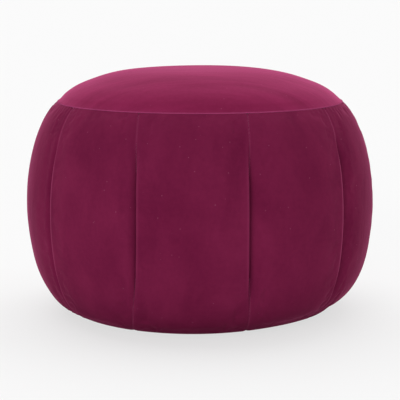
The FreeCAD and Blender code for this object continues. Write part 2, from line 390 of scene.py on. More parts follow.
@dataclass(frozen=True)
class Hardboard:
    """Hardboard, wood fibre pressed hot against a smooth plate.

    The fibres leave a brown, faintly mottled face with a slight shine.
    """

    name: str = "pressed_hardboard"
    dark: str = "#5E4226"
    light: str = "#86643F"
    fibre_mm: float = 4.0

    def build(self) -> Material:
        """Builds the hardboard.

        Returns:
            The node material.
        """
        bench = SurfaceBench(self.name, self.light)
        fibres = bench.add("TexNoise", {"Scale": per_mm(self.fibre_mm), "Detail": 8.0, "Roughness": 0.75})
        tone = bench.add("ValToRGB", {"Fac": fibres}, stops=[(0.35, self.dark), (0.68, self.light)])
        bump = bench.add("Bump", {"Height": fibres, "Strength": 0.15, "Distance": 0.3 * MM})
        return bench.coat({"Base Color": tone, "Roughness": 0.42, "Normal": bump})


@dataclass(frozen=True)
class PlatedSteel:
    """Steel with a thin zinc plate, drawn or headed cold.

    The plate has a satin shine that clouds in small patches.
    """

    name: str
    bright: str
    dull: str
    roughness: float
    cloud_mm: float = 2.5

    def build(self) -> Material:
        """Builds the plated steel.

        Returns:
            The node material.
        """
        bench = SurfaceBench(self.name, self.bright)
        clouds = bench.add("TexNoise", {"Scale": per_mm(self.cloud_mm), "Detail": 4.0, "Roughness": 0.6})
        tone = bench.add("ValToRGB", {"Fac": clouds}, stops=[(0.35, self.dull), (0.65, self.bright)])
        gloss = bench.add(
            "MapRange",
            {"Value": clouds, "To Min": self.roughness - 0.08, "To Max": self.roughness + 0.12},
        )
        return bench.coat({"Base Color": tone, "Metallic": 1.0, "Roughness": gloss})


@dataclass(frozen=True)
class SpunbondCloth:
    """Black polypropylene cloth, spun and bonded with a grid of hot points.

    The bonded points are small flat dimples that shine a little more than the fibres.
    """

    name: str = "spunbond_cloth_black"
    fibre: str = "#232325"
    point: str = "#101012"
    fibre_mm: float = 2.0
    point_mm: float = 3.2

    def build(self) -> Material:
        """Builds the cloth.

        Returns:
            The node material.
        """
        bench = SurfaceBench(self.name, self.fibre)
        turned = bench.add("Mapping", {"Vector": bench.place(), "Rotation": (0.0, 0.0, math.radians(45))})
        # Real points are 1.2 mm apart, drawn at 3.2 mm so that they show.
        points = bench.add(
            "TexVoronoi", {"Vector": turned, "Scale": per_mm(self.point_mm), "Randomness": 0.0}
        )
        fibres = bench.add("TexNoise", {"Scale": per_mm(self.fibre_mm), "Detail": 5.0, "Distortion": 1.5})
        dimple = bench.add(
            "MapRange",
            {"Value": points, "From Min": 0.22, "From Max": 0.34},
            interpolation_type="SMOOTHSTEP",
        )
        tone = bench.add("Mix", {0: dimple, 6: self.point, 7: self.fibre}, 2, data_type="RGBA")
        height = bench.add("Math", {0: fibres, 1: 0.4, 2: dimple}, operation="MULTIPLY_ADD")
        bump = bench.add("Bump", {"Height": height, "Strength": 0.5, "Distance": 0.3 * MM})
        gloss = bench.add("MapRange", {"Value": dimple, "To Min": 0.45, "To Max": 0.8})
        return bench.coat({"Base Color": tone, "Roughness": gloss, "Normal": bump})


@dataclass(frozen=True)
class MouldedNylon:
    """Black nylon, injection moulded in a spark-textured tool.

    The tool leaves an even fine grain that softens the shine, rubbed paler in places.
    """

    name: str = "moulded_nylon_black"
    body: str = "#191919"
    rubbed: str = "#2C2B2A"
    grain_mm: float = 0.8
    rub_mm: float = 9.0

    def build(self) -> Material:
        """Builds the nylon.

        Returns:
            The node material.
        """
        bench = SurfaceBench(self.name, self.body)
        grain = bench.add("TexNoise", {"Scale": per_mm(self.grain_mm), "Detail": 3.0})
        rub = bench.add("TexNoise", {"Scale": per_mm(self.rub_mm), "Detail": 4.0})
        tone = bench.add("ValToRGB", {"Fac": rub}, stops=[(0.45, self.body), (0.75, self.rubbed)])
        bump = bench.add("Bump", {"Height": grain, "Strength": 0.25, "Distance": 0.1 * MM})
        return bench.coat({"Base Color": tone, "Roughness": 0.48, "IOR": 1.53, "Normal": bump})


class Finish(Enum):
    """The finishes of the tuffet, each with the material slot that the record names."""

    VELVET = "velvet"
    # The seat's velvet is brushed across and painted lighter, painted light from the lamps above.
    SEAT_VELVET = "velvet, brushed across the seat"
    # The piping's velvet is painted lighter, a painted sheen highlight along the cord.
    PIPING_VELVET = "velvet, drawn tight round a cord"
    WADDING = "fibre_wadding"
    FOAM = "foam"
    PLYWOOD = "plywood"
    PINE = "softwood"
    HARDBOARD = "fibreboard"
    SCREW = "screw_steel"
    STAPLE = "staple_steel"
    DUST_CLOTH = "dust_cloth"
    NYLON = "glide_nylon"

    @property
    def slot(self) -> str:
        """The record's material slot."""
        return self.value.split(",")[0]


@dataclass
class FinishShelf:
    """Builds each finish once and puts it on pieces."""

    made: dict[Finish, Material] = field(default_factory=dict)

    def stock(self) -> None:
        """Builds every finish."""
        makers = {
            Finish.VELVET: CottonVelvet(),
            Finish.SEAT_VELVET: CottonVelvet(
                name="cotton_velvet_brushed_and_painted_lighter",
                # These tones are painted lighter than the sides', painted light for the top light falling
                # on the seat.
                deep="#73183E",
                lifted="#83204A",
                sheen_weight=0.62,
                sheen_roughness=0.32,
                stroke_stretch=(0.2, 1.1, 0.15),
                stroke_mm=30.0,
                lean=0.14,
            ),
            # A lighter copy of the velvet: a painted sheen highlight along the tight cord.
            Finish.PIPING_VELVET: CottonVelvet(
                name="cotton_velvet_painted_sheen", deep="#8A2F5A", lifted="#9A3B66", lint_mm=60.0
            ),
            Finish.WADDING: PolyesterWadding(),
            Finish.FOAM: UpholsteryFoam(),
            Finish.PLYWOOD: BirchPlywood(),
            Finish.PINE: PlanedPine(),
            Finish.HARDBOARD: Hardboard(),
            Finish.SCREW: PlatedSteel("yellow_zinc_steel", "#D9C27A", "#A8894A", 0.32),
            Finish.STAPLE: PlatedSteel("galvanised_wire", "#C9CCCE", "#8F9496", 0.38),
            Finish.DUST_CLOTH: SpunbondCloth(),
            Finish.NYLON: MouldedNylon(),
        }
        self.made = {finish: maker.build() for finish, maker in makers.items()}

    def put_on(self, piece: Object, finish: Finish) -> None:
        """Gives a piece one finish all over.

        Args:
            piece: a new piece or a carried-over node.
            finish: the finish that it takes.
        """
        piece.data.materials.clear()
        piece.data.materials.append(self.made[finish])

    def dress(self, piece: Object, finish: Finish, node: str) -> None:
        """Finishes a new piece and lets it stand for its node.

        Args:
            piece: the new piece.
            finish: the finish that it takes.
            node: the node that it replaces.
        """
        self.put_on(piece, finish)
        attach(piece, "root")
        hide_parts(node)


# Mesh helpers


def smooth_step(value: Numbers) -> Numbers:
    """An even rise from 0 to 1, flat at both ends."""
    held = np.clip(value, 0.0, 1.0)
    return held * held * (3.0 - 2.0 * held)


def bell(value: Numbers) -> Numbers:
    """A smooth bump that is 1 at 0 and fades away on both sides."""
    return np.exp(-(value**2))


def wander(points: Array, wave: float, seed: float) -> Array:
    """Smooth noise at each point.

    Args:
        points: places, with x, y and z along the last axis.
        wave: the noise's wavelength in metres.
        seed: shifts the noise, so that each use differs.

    Returns:
        One value from about -1 to 1 for each point.
    """
    flat = points.reshape(-1, 3) / wave + seed
    values = [noise.noise(Vector(p)) for p in flat]
    return np.array(values).reshape(points.shape[:-1])


def cylindrical(radius: Numbers, azimuth: Numbers, height: Numbers) -> Array:
    """Turns radius, azimuth in radians and height into x, y and z."""
    radius, azimuth, height = np.broadcast_arrays(radius, azimuth, height)
    return np.stack([radius * np.sin(azimuth), -radius * np.cos(azimuth), height], axis=-1)


def azimuths(points: Array) -> Array:
    """The azimuth of each point, in radians from -pi to pi."""
    return np.arctan2(points[..., 0], -points[..., 1])


def all_round(count: int) -> Array:
    """Evenly spaced azimuths, all the way round."""
    return np.linspace(0, 2 * math.pi, count, endpoint=False)


def grid_normals(grid: Array) -> Array:
    """The outward unit normal at each point of a grid."""
    normal = np.cross(np.gradient(grid, axis=1), np.gradient(grid, axis=0))
    return normal / np.maximum(np.linalg.norm(normal, axis=-1, keepdims=True), 1e-12)


def grid_faces(rows: int, columns: int, ring: bool, start: int = 0, flip: bool = False) -> list[list[int]]:
    """The quads of a grid whose points are numbered row by row.

    Args:
        rows: how many rows it has.
        columns: how many columns it has.
        ring: whether the last column joins the first.
        start: the number of its first point.
        flip: whether the faces look the other way.

    Returns:
        Four point numbers for each quad.
    """
    numbers = start + np.arange(rows * columns).reshape(rows, columns)
    if ring:
        numbers = np.concatenate([numbers, numbers[:, :1]], axis=1)
    corners = [numbers[:-1, :-1], numbers[:-1, 1:], numbers[1:, 1:], numbers[1:, :-1]]
    quads = np.stack(corners[::-1] if flip else corners, axis=-1)
    return quads.reshape(-1, 4).tolist()


def mesh_object(name: str, points: Array, faces: Sequence[Sequence[int]]) -> Object:
    """A new smooth-shaded mesh object.

    Args:
        name: its name.
        points: x, y and z along the last axis.
        faces: the point numbers of each face.

    Returns:
        The object, linked to the scene.
    """
    mesh = bpy.data.meshes.new(name)
    mesh.from_pydata(points.reshape(-1, 3).tolist(), [], faces)
    mesh.update()
    mesh.polygons.foreach_set("use_smooth", [True] * len(mesh.polygons))
    piece = bpy.data.objects.new(name, mesh)
    bpy.context.scene.collection.objects.link(piece)
    return piece


def shell(name: str, outer: Array, inner: Array) -> Object:
    """A closed shell between two grids of the same shape.

    Args:
        name: the new piece's name.
        outer: points of the outer face.
        inner: points of the inner face.

    Returns:
        The new object.
    """
    rows, columns = outer.shape[:2]
    count = rows * columns
    numbers = np.arange(count).reshape(rows, columns)
    edge = np.concatenate([numbers[:-1, 0], numbers[-1, :-1], numbers[:0:-1, -1], numbers[0, :0:-1]])
    after = np.roll(edge, -1)
    rim = np.stack([edge, after, after + count, edge + count], axis=-1)
    faces = grid_faces(rows, columns, False) + grid_faces(rows, columns, False, count, True)
    return mesh_object(name, np.stack([outer, inner]), faces + rim.tolist())


def turned(name: str, grid: Array, ends: Sequence[Sequence[float]] = ()) -> Object:
    """A closed solid that goes all the way round the upright axis.

    Args:
        name: the new piece's name.
        grid: its points.
        ends: the two points on the axis that close its first and last row. Without them the
            last row joins the first.

    Returns:
        The new object.
    """
    rows, around = grid.shape[:2]
    count, last = rows * around, (rows - 1) * around
    points = grid.reshape(-1, 3)
    faces = grid_faces(rows, around, True)
    if len(ends):
        points = np.concatenate([points, ends])
    for j in range(around):
        k = (j + 1) % around
        if len(ends):
            faces += [[k, j, count], [last + j, last + k, count + 1]]
        else:
            faces.append([last + j, last + k, k, j])
    return mesh_object(name, points, faces)


def round_sheet(name: str, upper: Array, lower: Array) -> Object:
    """A closed round layer between two faces, both given from the edge to the middle."""
    ends = [lower[-1].mean(axis=0), upper[-1].mean(axis=0)]
    return turned(name, np.concatenate([lower[::-1], upper]), ends)


def soft_solid(
    name: str, outline: Sequence[tuple[float, float]], around: int, rough: float = 0.0
) -> Object:
    """A solid of revolution, with a slightly uneven surface.

    Args:
        name: the new piece's name.
        outline: radius and height of each corner, counter-clockwise with the radius to the
            right; corners on the axis come first and last where the solid reaches it.
        around: how many columns it has.
        rough: how far its surface wanders, as a share of its radius.

    Returns:
        The new object.
    """
    corners = np.array(outline)
    on_axis = corners[0, 0] == 0.0
    rim = corners[1:-1] if on_axis else corners
    grid = cylindrical(rim[:, :1], all_round(around), rim[:, 1:])
    if rough:
        grid[..., :2] *= 1 - rough * np.abs(wander(grid, 30 * MM, 7.0))[..., None]
    ends = [(0.0, 0.0, corners[end, 1]) for end in (0, -1)] if on_axis else []
    return turned(name, grid, ends)


# Outer form


@dataclass(frozen=True)
class Profile:
    """Stations along the outer form, with the radial and upward parts of its normal."""

    radius: Array
    height: Array
    out: Array
    up: Array

    def sunk(self, depth: Numbers) -> tuple[Array, Array]:
        """Radius and height at a depth under the outer form."""
        return self.radius - depth * self.out, self.height - depth * self.up


@dataclass(frozen=True)
class Outline:
    """The outer form of the velvet, the same as the solids have: a barrel under a dome."""

    belly_radius: float = 305 * MM
    belly_height: float = 193 * MM
    seam_radius: float = 251 * MM
    seam_height: float = 372 * MM
    top_height: float = 430 * MM
    base_radius: float = 215 * MM
    underside: float = 6 * MM
    hem_radius: float = 180 * MM
    crown_flatness: float = 3.7
    velvet: float = 2 * MM
    padding: float = 16 * MM
    clearance: float = 0.3 * MM

    @property
    def seam_angle(self) -> float:
        """The side's ellipse angle at the seam."""
        return math.acos((self.seam_radius - self.base_radius) / (self.belly_radius - self.base_radius))

    @property
    def skin(self) -> float:
        """How far the padding lies under the velvet's face."""
        return self.velvet + self.clearance

    @property
    def foam_inset(self) -> float:
        """How far the foam lies under the velvet's face."""
        return self.velvet + self.padding + 2 * self.clearance

    def side(self, angle: Array) -> Profile:
        """The side's profile.

        Args:
            angle: ellipse angles in radians, from -90 degrees at the base up to the seam.

        Returns:
            The stations at those angles.
        """
        depth = self.belly_radius - self.base_radius
        upper = (self.seam_height - self.belly_height) / math.sin(self.seam_angle)
        tall = np.where(angle < 0, self.belly_height - self.underside, upper)
        across, up = np.cos(angle) / depth, np.sin(angle) / tall
        length = np.hypot(across, up)
        radius = self.base_radius + depth * np.cos(angle)
        return Profile(radius, self.belly_height + tall * np.sin(angle), across / length, up / length)

    def crown(self, share: Array) -> Profile:
        """The dome's profile.

        Args:
            share: shares of the seam's radius, from 0 at the middle to 1 at the seam.

        Returns:
            The stations at those shares.
        """
        rise = self.top_height - self.seam_height
        slope = rise * self.crown_flatness * share ** (self.crown_flatness - 1) / self.seam_radius
        length = np.hypot(slope, 1.0)
        height = self.seam_height + rise * (1 - share**self.crown_flatness)
        return Profile(share * self.seam_radius, height, slope / length, 1.0 / length)

    def walk(self, profile: Callable[[Array], Profile], measure: float, step: float, gap: float) -> float:
        """Walks along a profile, away from the seam.

        Args:
            profile: the side or the crown.
            measure: the profile's own measure at the seam.
            step: how much of that measure one step takes.
            gap: how far from the seam the walk ends.

        Returns:
            The profile's own measure at the end.
        """
        place = profile(np.array(measure))
        while math.hypot(place.radius - self.seam_radius, place.height - self.seam_height) < gap:
            measure -= step
            place = profile(np.array(measure))
        return measure

    def angle_below_seam(self, drop: float) -> float:
        """The side's ellipse angle at a distance below the seam."""
        return self.walk(self.side, self.seam_angle, 0.0003, drop)

    def share_inside_seam(self, gap: float) -> float:
        """The share of the seam's radius at a distance inside the seam."""
        return self.walk(self.crown, 1.0, 0.0004, gap)


@dataclass(frozen=True)
class Fullness:
    """A place where the padding is packed fuller or leaner than the even form.

    Every size is given one by one. A place with no azimuth goes all the way round.
    """

    place: float
    spread: float
    amount: float
    azimuth: float | None = None
    azimuth_spread: float = 50.0

    def at(self, azimuth: Array, place: Array) -> Array:
        """How far the face stands out here.

        Args:
            azimuth: azimuth in radians.
            place: the profile's own measure, an ellipse angle in degrees or a share.

        Returns:
            The shift along the outward normal, in metres.
        """
        shift = self.amount * bell((place - self.place) / self.spread)
        if self.azimuth is None:
            return shift
        away = (np.degrees(azimuth) - self.azimuth + 180) % 360 - 180
        return shift * bell(away / self.azimuth_spread)


@dataclass(frozen=True)
class Lumps:
    """Soft lumps in hand-laid padding."""

    wave: float
    height: float
    seed: float

    def at(self, points: Array) -> Array:
        """How far the face stands out at each point."""
        return self.height * wander(points, self.wave, self.seed)


@dataclass(frozen=True)
class Pucker:
    """The fine puckers that a row of stitches draws up beside a seam.

    They come every so far along the seam and die away within their reach.
    """

    spacing: float
    height: float
    reach: float
    wave: float
    seed: float
    uneven: float = 3.0
    clear: float = 3 * MM

    def at(self, points: Array, around: Array, drop: Array) -> Array:
        """How far the face stands out, by the way round the seam and the way down from it."""
        phase = around * 2 * math.pi / self.spacing + self.uneven * wander(points, self.wave, self.seed)
        return self.height * np.sin(phase) * np.exp(-drop / self.reach) * smooth_step(drop / self.clear)


@dataclass(frozen=True)
class Gathers:
    """The slanting folds that fan out from the top of a pleat."""

    height: float = 0.5 * MM
    spacing: float = 12.5 * MM
    drop: float = 34 * MM
    reach: float = 44 * MM
    clear: float = 4 * MM
    stray: float = 0.4
    stray_wave: float = 40 * MM
    uneven: float = 0.6
    uneven_wave: float = 30 * MM

    def at(self, points: Array, away: Array, drop: Array, seed: float) -> Array:
        """How far the face stands out.

        Args:
            points: the face's points.
            away: the way from the pleat.
            drop: the way down from the seat seam.
            seed: shifts the folds, so that each pleat has its own.

        Returns:
            The shift along the outward normal, in metres.
        """
        place = away / self.spacing + self.stray * wander(points, self.stray_wave, 5.0 + seed)
        length = self.drop * (1 + self.uneven * wander(points, self.uneven_wave, 12.0 + seed))
        fade = np.exp(-((drop / length) ** 2) - (away / self.reach) ** 2)
        fade = fade * smooth_step(drop / self.clear) * smooth_step(away / self.clear)
        return self.height * np.sin(2 * math.pi * place) * fade


@dataclass(frozen=True)
class Pleat:
    """One pleat: where it runs, how deep it is and how wide the faces beside it slope in.

    Its line leaves the upright plane a little at both ends, as a hand-pulled pleat does. One
    face slopes in gently and the other folds over sharply, as the cloth was tucked. Fold sheen
    says how strongly a painted sheen highlight is drawn along that fold.
    """

    azimuth: float
    top_drift: float
    base_drift: float
    depth: float
    before: float
    after: float
    fold_sheen: float = 0.2
    drift_angle: float = 66.0

    def line(self, angle: Array) -> Array:
        """Follows the pleat up the side.

        Args:
            angle: ellipse angles in radians.

        Returns:
            Its azimuth in radians at each of them.
        """
        share = np.degrees(angle) / self.drift_angle
        up, down = np.clip(share, 0, 1) ** 2, np.clip(-share, 0, 1.2) ** 2
        return np.radians(self.azimuth + self.top_drift * up + self.base_drift * down)


# Cloth


@dataclass(frozen=True)
class ClothSettle:
    """Lets the velvet faces settle as cloth over the padding that pushes them out.

    The cloth is simulated on every second row and column, and its moves are spread evenly over
    the points between them.
    """

    frames: int = 14
    quality: int = 4
    every: int = 2
    pressure: float = 1.6
    ease: float = 0.015
    cap: float = 2.2 * MM
    tension: float = 18.0
    bending: float = 0.6
    mass: float = 0.25

    def picks(self, count: int) -> Array:
        """The simulated rows or columns out of a number of them, both ends included."""
        return np.unique(np.append(np.arange(0, count, self.every), count - 1))

    def spread(self, moves: Array, count: int, axis: int) -> Array:
        """Spreads moves over the rows or columns between the simulated ones.

        Args:
            moves: one move for each simulated row and column.
            count: how many rows or columns the full face has.
            axis: 0 for rows, 1 for columns.

        Returns:
            The moves, with every row or column filled.
        """
        picks, places = self.picks(count), np.arange(count)
        low = np.clip(np.searchsorted(picks, places, side="right") - 1, 0, len(picks) - 2)
        share = (places - picks[low]) / (picks[low + 1] - picks[low])
        share = share.reshape((count, 1, 1) if axis == 0 else (1, count, 1))
        return np.take(moves, low, axis) * (1 - share) + np.take(moves, low + 1, axis) * share

    def run(self, grids: Sequence[Array], holds: Sequence[Array]) -> list[Array]:
        """Simulates all faces together and caps how far each point may move.

        Args:
            grids: the outer face of each panel.
            holds: how firmly each point is sewn down, from 0 to 1.

        Returns:
            The settled grids.
        """
        faces, coarse, firm, start = [], [], [], 0
        for grid, hold in zip(grids, holds):
            pick = np.ix_(self.picks(grid.shape[0]), self.picks(grid.shape[1]))
            coarse.append(grid[pick])
            firm.append(hold[pick].reshape(-1))
            faces += grid_faces(*coarse[-1].shape[:2], False, start)
            start += firm[-1].size
        points = np.concatenate([c.reshape(-1, 3) for c in coarse])
        moved = self.simulate(points, faces, np.concatenate(firm)) - points
        found, start = [], 0
        for grid, small in zip(grids, coarse):
            count = small.shape[0] * small.shape[1]
            shift = moved[start : start + count].reshape(small.shape)
            length = np.linalg.norm(shift, axis=-1, keepdims=True)
            # A soft cap: long moves are pressed together instead of cut off.
            shift = shift / np.maximum(length, 1e-9) * self.cap * np.tanh(length / self.cap)
            found.append(grid + self.spread(self.spread(shift, grid.shape[0], 0), grid.shape[1], 1))
            start += count
        return found

    def simulate(self, points: Array, faces: list[list[int]], hold: Array) -> Array:
        """Runs the cloth and reads where its points end up.

        Args:
            points: the cloth's points.
            faces: its quads.
            hold: how firmly each point is sewn down.

        Returns:
            The points after the last frame.
        """
        cloth = mesh_object("settling_velvet", points, faces)
        pins = cloth.vertex_groups.new(name="sewn")
        for i, firm in enumerate(hold):
            if firm > 0.001:
                pins.add([i], float(firm), "REPLACE")
        modifier = cloth.modifiers.new("settle", "CLOTH")
        feel = modifier.settings
        feel.quality = self.quality
        feel.mass = self.mass
        feel.tension_stiffness = self.tension
        feel.compression_stiffness = self.tension
        feel.shear_stiffness = self.tension / 3
        feel.bending_stiffness = self.bending
        feel.vertex_group_mass = "sewn"
        feel.use_pressure = True
        feel.uniform_pressure_force = self.pressure
        feel.shrink_min = -self.ease
        feel.effector_weights.gravity = 0.0
        modifier.collision_settings.use_collision = False
        modifier.point_cache.frame_start = 1
        modifier.point_cache.frame_end = self.frames
        # Nothing else is worked out while the cloth runs.
        hidden = [o for o in bpy.context.scene.objects if o != cloth and not o.hide_viewport]
        for other in hidden:
            other.hide_viewport = True
        for number in range(1, self.frames + 1):
            bpy.context.scene.frame_set(number)
        settled = cloth.evaluated_get(bpy.context.evaluated_depsgraph_get()).to_mesh()
        flat = np.zeros(len(settled.vertices) * 3)
        settled.vertices.foreach_get("co", flat)
        for other in hidden:
            other.hide_viewport = False
        bpy.data.objects.remove(cloth)
        bpy.context.scene.frame_set(1)
        return flat.reshape(-1, 3)


# Sub-assemblies


@dataclass(frozen=True)
class PanelPlan:
    """Where one side panel lies: its pleats, its rows, and how far each point is from a pleat."""

    number: int
    first: Pleat
    second: Pleat
    angle: Array
    rows: Profile
    azimuth: Array
    near: Array
    far: Array

    @property
    def name(self) -> str:
        """The panel's number, as the names of its pieces carry it."""
        return f"{self.number + 1:02d}"

    @property
    def edge(self) -> Array:
        """The way to the nearest pleat."""
        return np.minimum(self.near, self.far)

    @property
    def sides(self) -> tuple[tuple[Pleat, float, Array], ...]:
        """Both pleats, each with the width of its slope here and the way from it."""
        return ((self.first, self.first.after, self.near), (self.second, self.second.before, self.far))


@dataclass
class SideCover:
    """The ten velvet side panels and the fibre pad behind each of them."""

    outline: Outline
    shelf: FinishShelf
    settle: ClothSettle = ClothSettle()
    gathers: Gathers = Gathers()
    pucker: Pucker = Pucker(9.5 * MM, 0.16 * MM, 11 * MM, 50 * MM, 1.0)
    lumps: tuple[Lumps, ...] = (Lumps(120 * MM, 1.1 * MM, 3.1), Lumps(45 * MM, 0.45 * MM, 9.7))
    pleats: tuple[Pleat, ...] = (
        Pleat(15.4, 2.2, 3.0, 10.5 * MM, 3.5 * MM, 31.0 * MM, 0.15),
        Pleat(51.8, 4.0, 3.6, 17.0 * MM, 3.5 * MM, 34.0 * MM, 0.5),
        Pleat(89.6, 1.0, 1.0, 11.5 * MM, 5.0 * MM, 15.0 * MM),
        Pleat(124.4, 0.5, -0.6, 12.0 * MM, 6.0 * MM, 14.0 * MM),
        Pleat(160.2, -0.6, 0.8, 12.0 * MM, 8.0 * MM, 12.0 * MM),
        Pleat(196.3, 0.7, 0.4, 11.5 * MM, 10.0 * MM, 9.0 * MM),
        Pleat(231.2, -0.5, 0.6, 11.0 * MM, 13.0 * MM, 6.0 * MM),
        Pleat(266.6, -1.0, -1.0, 11.5 * MM, 14.0 * MM, 5.0 * MM),
        Pleat(304.4, -2.3, -3.8, 8.5 * MM, 12.0 * MM, 3.5 * MM, 0.45),
        Pleat(340.1, -3.1, -6.1, 7.5 * MM, 13.0 * MM, 3.0 * MM, 0.15),
    )
    fullness: tuple[Fullness, ...] = (
        Fullness(-42.0, 22.0, 2.4 * MM),
        Fullness(-84.0, 9.0, 2.8 * MM),
        Fullness(-79.0, 12.0, -3.4 * MM, 38.0, 26.0),
        Fullness(-68.0, 13.0, 2.6 * MM, -60.0, 60.0),
        Fullness(-66.0, 14.0, -4.0 * MM, 68.0, 42.0),
    )
    # How deep and wide a pleat is where it is closed, and the degrees between which it opens.
    closed_depth: float = 1.3 * MM
    closed_width: float = 7.0 * MM
    pull: float = 1.7
    opens_above: float = 47.0
    opens_below: float = 52.0
    full_at: float = 18.0
    # The radians over which fuller places fade out below the seam and above the base.
    even_top: float = 0.2
    even_base: float = 0.12
    # Where lumps fade out: below the seam, above the base in radians, and beside a pleat.
    drop_per_radian: float = 190 * MM
    lumpy_below: float = 30 * MM
    lumpy_above: float = 0.4
    lumpy_beside: float = 14 * MM
    # Where a painted sheen highlight is drawn: along a closed pleat, and along a slope narrower than a
    # sharp fold.
    seam_sheen: float = 0.3
    seam_line: float = 1.3 * MM
    sharp_fold: float = 6.5 * MM
    fold_shift: float = 1.2 * MM
    fold_line: float = 1.8 * MM
    # The rows and columns of points, closest together beside the seams.
    gap: float = 0.06 * MM
    seam_gap: float = 1.2 * MM
    hem_rows: int = 5
    low_rows: int = 78
    top_rows: int = 26
    top_band: float = 58 * MM
    edge_columns: int = 28
    edge_band: float = 48 * MM
    edge_crowding: float = 1.3
    middle_columns: int = 15
    # How much of a face is stapled or sewn down, and over how much that eases off.
    stapled_rows: int = 5
    stapled_ease: int = 12
    sewn_rows: int = 3
    sewn_ease: int = 5
    pleated_band: float = 8 * MM
    pleated_ease: float = 22 * MM
    # Where the pad stops: its lowest ellipse angle in degrees, and how far inside the panel.
    pad_lowest: float = -78.0
    pad_shy_rows: int = 4
    pad_shy_columns: int = 2

    def rows(self) -> tuple[Array, Profile]:
        """The stations of a panel from its hem, round the board's edge and up to the seam.

        Returns:
            The ellipse angle of each row, and its place.
        """
        form = self.outline
        band, top = form.angle_below_seam(self.top_band), form.angle_below_seam(self.seam_gap)
        low = np.linspace(-math.pi / 2, band, self.low_rows, endpoint=False)
        angle = np.concatenate([low, np.linspace(band, top, self.top_rows)])[:, None]
        side = form.side(angle)
        hem = np.linspace(form.hem_radius, form.base_radius, self.hem_rows, endpoint=False)[:, None]
        flat = np.zeros_like(hem)
        places = Profile(
            np.concatenate([hem, side.radius]),
            np.concatenate([flat + form.underside, side.height]),
            np.concatenate([flat, side.out]),
            np.concatenate([flat - 1.0, side.up]),
        )
        return np.concatenate([flat - math.pi / 2, angle]), places

    def edge_places(self) -> Array:
        """How far each column beside a pleat lies from it."""
        share = np.linspace(0, 1, self.edge_columns) ** self.edge_crowding
        return self.gap + (self.edge_band - self.gap) * share

    def plan(self, number: int) -> PanelPlan:
        """Works out where one panel lies, with its columns closest together beside its pleats.

        Args:
            number: the panel, from 0; its pleats are this one and the next.

        Returns:
            The plan.
        """
        first, second = self.pleats[number], self.pleats[(number + 1) % len(self.pleats)]
        angle, rows = self.rows()
        low, high = first.line(angle), second.line(angle)
        width = (high - low) % (2 * math.pi) * rows.radius
        places = self.edge_places()
        edge = np.broadcast_to(places, (len(width), len(places)))
        share = np.linspace(0, 1, self.middle_columns + 2)[1:-1]
        middle = places[-1] + (width - 2 * places[-1]) * share
        near = np.concatenate([edge, middle, width - edge[:, ::-1]], axis=1)
        return PanelPlan(number, first, second, angle, rows, low + near / rows.radius, near, width - near)

    def opening(self, angle: Array) -> Array:
        """How far a pleat is open at each ellipse angle, from 0 to 1."""
        end = np.where(angle > 0, self.opens_above, self.opens_below)
        return smooth_step((end - np.abs(np.degrees(angle))) / (end - self.full_at))

    def pull_in(self, pleat: Pleat, slope: float, angle: Array, away: Array) -> Array:
        """How far a pleat pulls the face in.

        Args:
            pleat: the pleat.
            slope: how wide the face slopes in where the pleat is open.
            angle: ellipse angle of each row.
            away: distance of each point from the pleat.

        Returns:
            Depth under the even form at each point.
        """
        opened = self.opening(angle)
        depth = self.closed_depth + (pleat.depth - self.closed_depth) * opened
        width = self.closed_width + (slope - self.closed_width) * opened
        return depth * np.clip(1 - (away - self.gap) / width, 0, 1) ** self.pull

    def face(self, plan: PanelPlan) -> Array:
        """The outer face of one panel before it settles.

        Args:
            plan: where the panel lies.

        Returns:
            The face's points.
        """
        depth = sum(self.pull_in(pleat, slope, plan.angle, away) for pleat, slope, away in plan.sides)
        free = smooth_step((self.outline.seam_angle - plan.angle) / self.even_top)
        free = free * smooth_step((plan.angle + math.pi / 2) / self.even_base)
        for place in self.fullness:
            depth = depth - place.at(plan.azimuth, np.degrees(plan.angle)) * free
        radius, height = plan.rows.sunk(depth)
        return cylindrical(radius, plan.azimuth, height)

    def unevenness(self, plan: PanelPlan, grid: Array) -> Array:
        """What hand-laid padding and a gathered seam add to a panel's settled face.

        Args:
            plan: where the panel lies.
            grid: the face's points.

        Returns:
            The uneven face.
        """
        drop = (self.outline.seam_angle - plan.angle) * self.drop_per_radian
        free = smooth_step(drop / self.lumpy_below)
        free = free * smooth_step((plan.angle + math.pi / 2) / self.lumpy_above)
        shift = sum(lumps.at(grid) for lumps in self.lumps) * free
        shift = shift * smooth_step(plan.edge / self.lumpy_beside)
        # Each pleat draws up its folds by hand, some harder than others.
        drawn = (0.7 + 0.3 * math.sin(plan.number * 2.1), 0.7 + 0.3 * math.cos(plan.number * 1.7))
        for strength, away in zip(drawn, (plan.near, plan.far)):
            shift = shift + strength * self.gathers.at(grid, away, drop, plan.number)
        shift = shift + self.pucker.at(grid, azimuths(grid) * self.outline.seam_radius, drop)
        return grid + grid_normals(grid) * shift[..., None]

    def hold(self, grid: Array) -> Array:
        """How firmly a face is sewn or stapled down.

        Args:
            grid: the face's points.

        Returns:
            One value from 0 to 1 for each point, easing off away from the seams and the base.
        """
        rows, columns = grid.shape[:2]
        row = np.arange(rows)
        base = 1 - smooth_step((row - self.hem_rows - self.stapled_rows) / self.stapled_ease)
        seam = 1 - smooth_step((rows - self.sewn_rows - row) / self.sewn_ease)
        beside = np.zeros(columns)
        away = (self.edge_places() - self.pleated_band) / self.pleated_ease
        beside[: self.edge_columns] = 1 - smooth_step(away)
        return np.maximum(np.maximum(base, seam)[:, None], np.maximum(beside, beside[::-1]))

    def painted_sheen(self, plan: PanelPlan) -> Array:
        """How strongly a painted sheen highlight is drawn beside the seams of a panel.

        Args:
            plan: where the panel lies.

        Returns:
            One value from 0 to 1 for each point.
        """
        opened = self.opening(plan.angle)
        painted_sheen = self.seam_sheen * (1 - opened) * bell(plan.edge / self.seam_line)
        # The painted sheen highlight also runs where the cloth folds over sharply into an open pleat.
        for pleat, slope, away in plan.sides:
            if slope < self.sharp_fold:
                line = bell((away - slope - self.fold_shift) / self.fold_line)
                painted_sheen = painted_sheen + pleat.fold_sheen * opened * line
        return painted_sheen

